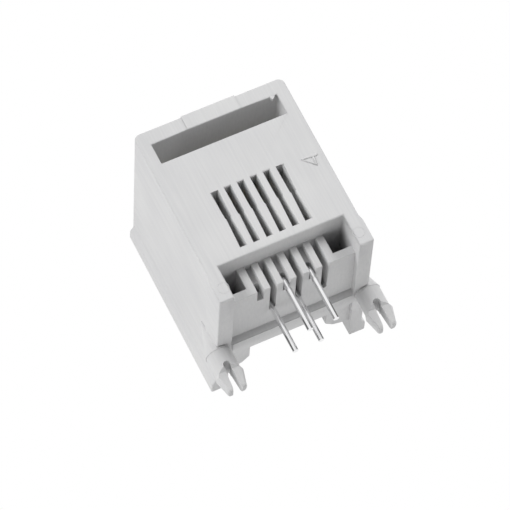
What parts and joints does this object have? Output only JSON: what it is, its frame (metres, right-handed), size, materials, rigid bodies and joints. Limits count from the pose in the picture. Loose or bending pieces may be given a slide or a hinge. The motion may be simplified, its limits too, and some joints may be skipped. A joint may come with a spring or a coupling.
{
  "type": "pcb modular jack",
  "caption": "Side-entry modular jack for a circuit board: light-grey moulded housing with a latched plug port, round-wire contact springs, staggered solder tails and split locking pegs.",
  "frame": {"origin": "on the board's surface, midway between the axes of the two locking pegs", "axes": "+X across the jack, towards contact position 1; +Y towards the rear face, so the plug goes in along +Y; +Z away from the board"},
  "size_m": [0.0142, 0.0142, 0.0182],
  "materials": {
    "housing_plastic": "satin as-moulded",
    "contact_metal": "bright plated wire"
  },
  "bodies": {
    "root": {"housing": "housing_plastic", "contact_wire_2": "contact_metal", "contact_wire_3": "contact_metal", "contact_wire_4": "contact_metal", "contact_wire_5": "contact_metal"}
  },
  "joints": []
}
